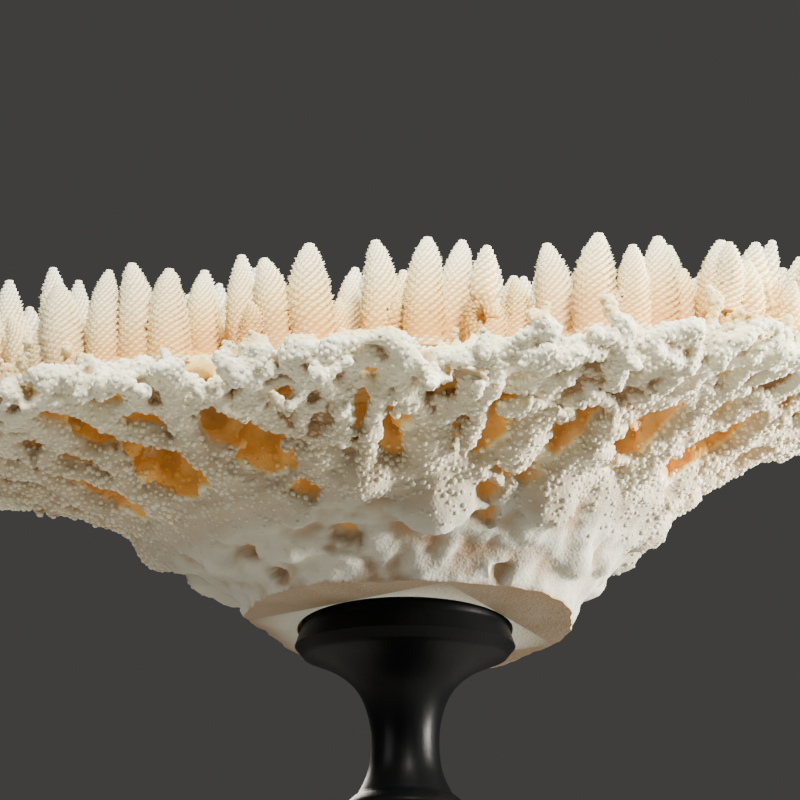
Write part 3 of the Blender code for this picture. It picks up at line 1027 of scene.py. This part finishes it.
for limb, start, end in LIMBS:
    rng = random.Random(limb)
    twigs = side_twigs(rng, ribs[limb]) + rim_twigs(rng, start, end) + front_rim_of(rng, start, end)
    twigs = with_buds(rng, twigs, 0.6)
    net = ribs[limb] + links_of(rng, ribs[limb]) + net_of(rng, limb) + webs_of(limb, start, end)
    lattice = bmesh.new()
    lattice.from_mesh(tubes(limb, net + twigs, 0.92))
    reliefs = [("CLOUDS", 0.0042, 0.0026), ("CLOUDS", 0.002, 0.0008)]
    skin = fused("lattice_" + limb, lattice, VOXEL, 1, reliefs)
    warmth = store_tint_and_glow(skin.data)
    # Painted glow: the skin round the front finger's hole turns orange, for light that comes through it.
    away = [
        (vert.co - HOLE).length if vert.co.y > HOLE.y - 0.001 else 1.0
        for vert in skin.data.vertices
    ]
    warmth = np.maximum(warmth, np.clip((0.0048 - np.array(away)) / 0.0016, 0, 1))
    store(skin.data, "warmth", warmth)
    distance, azimuth, height = polar(skin.data)
    above = height > top_of_plate(distance, azimuth)
    # Painted shade: the underside darkens away from the rim, the outer skin is darker, and so are its
    # crevices.
    inner = np.clip((rim_radius(azimuth) - distance - 0.008) / 0.03, 0, 1) * ~above
    covered = np.maximum(np.clip(2.0 - 4.0 * warmth, 0, 1), above)
    store(skin.data, "crevice", sunken(skin.data, 26, 0.0008) + 0.20 * inner)
    nubs = nubs_on("nubs_" + limb, skin, np.maximum(covered, 0.30))
    store(skin.data, "sunk", covered * (0.15 + 0.40 * inner))
    store_tint_and_glow(nubs.data)
    for piece in (skin, nubs):
        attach(piece, "root")
        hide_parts(limb)


# The foot is solid, old skeleton, smoother than the rest and worn. Its grey is partly its own and partly
# painted shade on the down-facing underside, and the sawn face is darkened by painted shade. It was sawn
# off, and a level seat was cut into the sawn face for the pedestal's head. Its lumps are (azimuth,
# distance from the axis, size, height) and its dints (azimuth, glow, distance, size, depth), with lengths
# in mm; a dint's glow is painted orange light.
FOOT_STEPS = 96
FOOT_COLUMNS = 64
FOOT_VOXEL = 0.0015
FOOT_CREASE = 50
BACK_LUMPS = 18
FLARE = [0.0, 0.15, 0.35, 0.60, 0.85]
LUMPS = [
    (-83, 62, 13, 5), (-99, 74, 9, 3.5), (-124, 56, 5, 2.6), (-55, 66, 12, 4),
    (-148, 60, 8, 3), (-33, 56, 7, 3), (-116, 66, 7, 2.5),
]
DINTS = [
    (-137, 0, 60, 4, 4), (-134, 0, 52, 3.6, 3.5), (-107, 0, 57, 8, 4.5), (-57, 0, 50, 4, 4),
    (-111, 1, 75, 5.5, 9), (-69.5, 0.8, 63, 4.5, 8), (-71.5, 1, 70, 5.5, 10), (-69, 1, 77, 6, 11),
    (-64.5, 1, 77, 5.5, 10), (20, 0.6, 70, 8, 8), (75, 0, 60, 8, 4), (130, 0.8, 72, 7, 8),
    (175, 0, 60, 8, 3.5),
]
foot = bmesh.new()
# Tier 0 follows the underside, 1 is its upper edge, 2 and 3 lie under the top of the plate.
levels = [(share, 0) for share in FLARE] + [(0.975, 1), (0.97, 2), (0.94, 3), (0.5, 3)]
rings = []
for factor, tier in levels:
    ring = bmesh.ops.create_circle(foot, segments=FOOT_STEPS, radius=1.0)["verts"]
    for vert in ring:
        azimuth = azimuth_of(vert.co.x, vert.co.y)
        radius = FOOT_RADIUS * factor
        if tier == 0:
            radius = cut_radius(azimuth) + (FOOT_RADIUS - cut_radius(azimuth)) * factor
        height = underside(radius, azimuth) - (0.004 if (factor, tier) == (0.0, 0) else 0)
        if tier >= 2:
            height = top_of_plate(radius, azimuth) - (0.01 if tier == 2 else 0.004)
        vert.co = spot(radius, azimuth, height)
    rings.append(list({edge for vert in ring for edge in vert.link_edges}))
for lower, upper in zip(rings, rings[1:]):
    bmesh.ops.bridge_loops(foot, edges=lower + upper)
bmesh.ops.holes_fill(foot, edges=[edge for edge in foot.edges if edge.is_boundary])
bmesh.ops.recalc_face_normals(foot, faces=foot.faces)
rng = random.Random("coral_foot")
buttresses = []
for limb, start, end in LIMBS:
    width = (end - start) / STEMS_PER_LIMB
    for i in range(STEMS_PER_LIMB):
        at = start + width * (i + 0.5)
        buttresses.append(rib_route(rng, at, [], 0.055, 0.086, 0.007, 0.007))
for i in range(FOOT_COLUMNS):
    at = 360 * i / FOOT_COLUMNS + rng.uniform(-1.5, 1.5)
    column = []
    for share in (0.0, 0.25, 0.5, 0.75, 1.0):
        radius = FOOT_RADIUS - 0.0016 + rng.uniform(-0.0014, 0.001)
        bottom, top = underside(radius, at) + 0.004, top_of_plate(radius, at) - 0.003
        column.append((spot(radius, at, bottom + (top - bottom) * share), rng.uniform(0.002, 0.0038)))
    buttresses.append(column)
lumps = [(azimuth, *metres(lump)) for azimuth, *lump in LUMPS]
for _ in range(BACK_LUMPS):
    azimuth, radius = rng.uniform(-20, 200), rng.uniform(0.052, 0.074)
    lumps.append((azimuth, radius, rng.uniform(0.006, 0.012), rng.uniform(0.002, 0.004)))
for azimuth, radius, size, proud in lumps:
    centre = spot(radius, azimuth, underside(radius, azimuth) + size - proud)
    bmesh.ops.create_icosphere(foot, subdivisions=3, radius=size, matrix=Matrix.Translation(centre))
twigs = with_buds(rng, side_twigs(rng, [route[2:] for route in buttresses[:-FOOT_COLUMNS]]), 0.4)
foot.from_mesh(tubes("buttresses", buttresses + twigs + net_of(rng, "coral_foot")))
reliefs = [("CLOUDS", 0.016, 0.0045), ("CLOUDS", 0.005, 0.0022)]
foot = fused("foot_flare", foot, FOOT_VOXEL, 4, reliefs)
worked = bmesh.new()
worked.from_mesh(foot.data)
pit = worked.verts.layers.float.new("pit")
for azimuth, glow, *dint in DINTS:
    radius, size, depth = metres(dint)
    centre = spot(radius, azimuth, underside(radius, azimuth))
    for vert in worked.verts:
        away = (vert.co - centre).length / size
        if away < 1.6:
            away = max(0.0, away + 0.55 * noise.noise(vert.co * 260))
        if away < 1:
            inward = Vector((-vert.co.x, -vert.co.y, 0)).normalized() * 0.7 + Vector((0, 0, 0.7))
            vert.co += inward * depth * (1 - away * away) ** 2
            vert[pit] = max(vert[pit], glow * (1 - away * away) * 1.4)
sawn_normal = Vector((0, CUT_SLOPE, 1)).normalized()
sawn_point = Vector((0, CUT_FRONT_Y, CUT_Z))
bmesh.ops.bisect_plane(
    worked,
    geom=worked.verts[:] + worked.edges[:] + worked.faces[:],
    plane_co=sawn_point,
    plane_no=sawn_normal,
    clear_inner=True,
)
bmesh.ops.holes_fill(worked, edges=[edge for edge in worked.edges if edge.is_boundary])
worked.to_mesh(foot.data)
worked.free()
distance, azimuth, height = polar(foot.data)
outside = height - underside(distance, azimuth) < 0.0035
# The worn grey: partly the foot's own old grey, partly painted shade on its outer underside, darker
# towards the axis.
store(foot.data, "worn", np.clip((0.09 - distance) / 0.02, 0, 1) * outside)
pit = np.empty(len(distance), np.float32)
foot.data.attributes["pit"].data.foreach_get("value", pit)
# Painted glow in the glowing dints, by their pit value.
warmth = np.maximum(store_tint_and_glow(foot.data, 0.0034, 0.002), pit) * (distance > 0.05)
store(foot.data, "warmth", warmth)
walls = 0.45 * (~outside & (distance > 0.072))
# Painted shade on the outer underside towards the flare.
store(foot.data, "crevice", 0.20 * outside * np.clip((distance - 0.066) / 0.014, 0, 1))
nubs = nubs_on("nubs_foot", foot, walls + outside * np.clip((distance - 0.064) / 0.014, 0, 0.9))
covered = outside * np.clip((distance - 0.066) / 0.014, 0, 0.4)
# Painted shade: the foot's crevices, its outer skin and the sawn face are darkened.
sawn = height + CUT_SLOPE * (coordinates(foot.data)[1] - CUT_FRONT_Y) < 0.0002
store(foot.data, "sunk", np.maximum(np.maximum(sunken(foot.data, 60, 0.0014), covered), sawn * 0.85))
store_tint_and_glow(nubs.data)
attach(nubs, "root")
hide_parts("coral_foot")
bpy.data.objects.remove(nub)
seat = bmesh.new()
bmesh.ops.create_cone(seat, cap_ends=True, segments=96, radius1=0.0352, radius2=0.0309, depth=0.02)
bmesh.ops.translate(seat, verts=seat.verts, vec=(0, 0, CUT_Z - 0.01))
seat_cutter = solid_piece("seat_cutter", seat, skeleton)
seating = foot.modifiers.new("seat", "BOOLEAN")
seating.operation = "DIFFERENCE"
seating.object = seat_cutter
seated = applied(foot)
foot.modifiers.clear()
foot.data = seated
bpy.data.objects.remove(seat_cutter)
seated.shade_smooth()
seated.set_sharp_from_angle(angle=math.radians(FOOT_CREASE))
edging = bmesh.new()
edging.from_mesh(seated)
for edge in edging.edges:
    flat = [abs(face.normal.dot(sawn_normal)) > 0.9995 for face in edge.link_faces]
    if any(flat) and not all(flat):
        edge.smooth = False
edging.to_mesh(seated)
edging.free()
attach(foot, "root")
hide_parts("coral_foot")


# The stage: a plain pale floor, a soft grey surround, and a camera low in front that looks up a little
# at the table from below its rim.
floor_bm = bmesh.new()
bmesh.ops.create_circle(floor_bm, cap_ends=True, segments=96, radius=1.6)
floor_finish, shade, shader = finish("pale floor")
shader.inputs["Base Color"].default_value = (0.42, 0.41, 0.39, 1)
shader.inputs["Roughness"].default_value = 0.8
floor = solid_piece("floor", floor_bm, floor_finish, smooth=False)
floor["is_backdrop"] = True

world = bpy.data.worlds.new("surround")
world.use_nodes = True
world.node_tree.nodes["Background"].inputs["Color"].default_value = (0.057, 0.056, 0.054, 1)
world.node_tree.nodes["Background"].inputs["Strength"].default_value = 1.0
bpy.context.scene.world = world

LAMP_SPREAD = 70
# Name, place, diameter, power, colour.
LIGHTS = [
    ("top_softbox", (0.08, -0.08, 0.64), 0.34, 1.2, (1.0, 0.96, 0.87)),
    ("front_top", (0.15, -0.62, 0.58), 0.16, 2.5, (1.0, 0.98, 0.90)),
    ("right_flank", (0.70, -0.10, 0.20), 0.18, 3.9, (1.0, 0.98, 0.91)),
    ("left_front", (-0.65, -0.42, 0.36), 0.26, 0.35, (0.98, 0.98, 1.0)),
    ("back_rim", (-0.25, 0.62, 0.50), 0.40, 1.0, (1.0, 0.94, 0.86)),
]
aim = Vector((0, 0, 0.20))
for name, place, size, power, colour in LIGHTS:
    lamp = bpy.data.lights.new(name, "AREA")
    lamp.shape = "DISK"
    lamp.size = size
    lamp.energy = power
    lamp.color = colour
    lamp.spread = math.radians(LAMP_SPREAD)
    light = bpy.data.objects.new(name, lamp)
    light.location = place
    light.rotation_euler = (aim - Vector(place)).to_track_quat("-Z", "Y").to_euler()
    assembled.objects.link(light)

CAMERA_PITCH = 17.54
lens = bpy.data.cameras.new("camera")
lens.lens = 100.7
lens.sensor_width = 36.0
camera = bpy.data.objects.new("camera", lens)
camera.location = CAMERA_PLACE
camera.rotation_euler = (math.radians(90 + CAMERA_PITCH), 0, 0)
assembled.objects.link(camera)
bpy.context.scene.camera = camera

boxes = {"solids": solid_box, "visual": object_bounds()}
{name: [list(corner) for corner in box] for name, box in boxes.items()}
